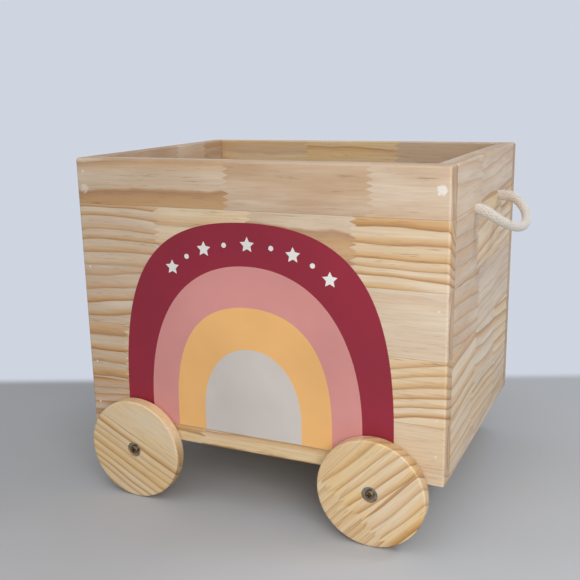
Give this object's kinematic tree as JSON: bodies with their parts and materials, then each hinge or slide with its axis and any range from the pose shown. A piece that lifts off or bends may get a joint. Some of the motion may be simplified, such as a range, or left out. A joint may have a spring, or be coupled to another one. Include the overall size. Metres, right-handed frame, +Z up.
{
  "type": "wooden toy box",
  "caption": "Open pine toy box on free-turning solid wooden wheels, with a rope handle at each end and a painted rainbow on the front.",
  "frame": {"origin": "on the floor the wheels stand on, under the middle of the bounding box of the wooden box and its rope handles", "axes": "+Z up, +X along the long side towards the right-hand rope handle, and the rainbow front faces -Y"},
  "size_m": [0.4872, 0.3334, 0.3675],
  "materials": {
    "pine_board": "glued pine laminate, clear satin lacquer",
    "pine_batten": "planed solid pine, unfinished",
    "pine_wheel": "cut from glued pine board, clear satin lacquer",
    "zinc_steel": "zinc plated, satin",
    "screw_steel": "yellow zinc plated, satin",
    "brad_steel": "bright steel wire",
    "wood_filler": "sanded wood filler, matt",
    "cotton_rope": "twisted natural cotton rope, matt",
    "paint_burgundy": "matt, slightly satin",
    "paint_pink": "matt, slightly satin",
    "paint_mustard": "matt, slightly satin",
    "paint_grey": "matt, slightly satin",
    "paint_white": "matt, slightly satin"
  },
  "bodies": {
    "box": {"front_panel": "pine_board", "back_panel": "pine_board", "left_end_panel": "pine_board", "right_end_panel": "pine_board", "floor_panel": "pine_board", "left_batten": "pine_batten", "right_batten": "pine_batten", "front_left_wheel_spacer": "zinc_steel", "front_left_wheel_washer": "zinc_steel", "front_left_wheel_screw": "screw_steel", "rear_left_wheel_spacer": "zinc_steel", "rear_left_wheel_washer": "zinc_steel", "rear_left_wheel_screw": "screw_steel", "front_right_wheel_spacer": "zinc_steel", "front_right_wheel_washer": "zinc_steel", "front_right_wheel_screw": "screw_steel", "rear_right_wheel_spacer": "zinc_steel", "rear_right_wheel_washer": "zinc_steel", "rear_right_wheel_screw": "screw_steel", "corner_brads": "brad_steel", "brad_fillers": "wood_filler", "corner_screws": "screw_steel", "corner_fillers": "wood_filler", "batten_screws": "screw_steel", "left_rope_knots": "cotton_rope", "right_rope_knots": "cotton_rope", "burgundy_band": "paint_burgundy", "pink_band": "paint_pink", "mustard_band": "paint_mustard", "grey_arch": "paint_grey", "white_stars": "paint_white"},
    "front_left_wheel_body": {"front_left_wheel": "pine_wheel"},
    "rear_left_wheel_body": {"rear_left_wheel": "pine_wheel"},
    "front_right_wheel_body": {"front_right_wheel": "pine_wheel"},
    "rear_right_wheel_body": {"rear_right_wheel": "pine_wheel"},
    "left_handle": {"left_rope_handle": "cotton_rope"},
    "right_handle": {"right_rope_handle": "cotton_rope"}
  },
  "joints": [
    {"name": "front_left_wheel_spin", "type": "hinge", "parent": "box", "child": "front_left_wheel_body", "pos_m": [-0.1385, -0.15835, 0.055], "axis": [0, 1, 0], "continuous": true},
    {"name": "rear_left_wheel_spin", "type": "hinge", "parent": "box", "child": "rear_left_wheel_body", "pos_m": [-0.1385, 0.15835, 0.055], "axis": [0, 1, 0], "continuous": true},
    {"name": "front_right_wheel_spin", "type": "hinge", "parent": "box", "child": "front_right_wheel_body", "pos_m": [0.1315, -0.15835, 0.055], "axis": [0, 1, 0], "continuous": true},
    {"name": "rear_right_wheel_spin", "type": "hinge", "parent": "box", "child": "rear_right_wheel_body", "pos_m": [0.1315, 0.15835, 0.055], "axis": [0, 1, 0], "continuous": true},
    {"name": "left_handle_lift", "type": "hinge", "parent": "box", "child": "left_handle", "pos_m": [-0.2054, 0, 0.318], "axis": [0, 1, 0], "range_deg": [-50, 90], "stiffness_Nm_per_rad": 0.06},
    {"name": "right_handle_lift", "type": "hinge", "parent": "box", "child": "right_handle", "pos_m": [0.2054, 0, 0.318], "axis": [0, -1, 0], "range_deg": [-50, 90], "stiffness_Nm_per_rad": 0.06}
  ]
}
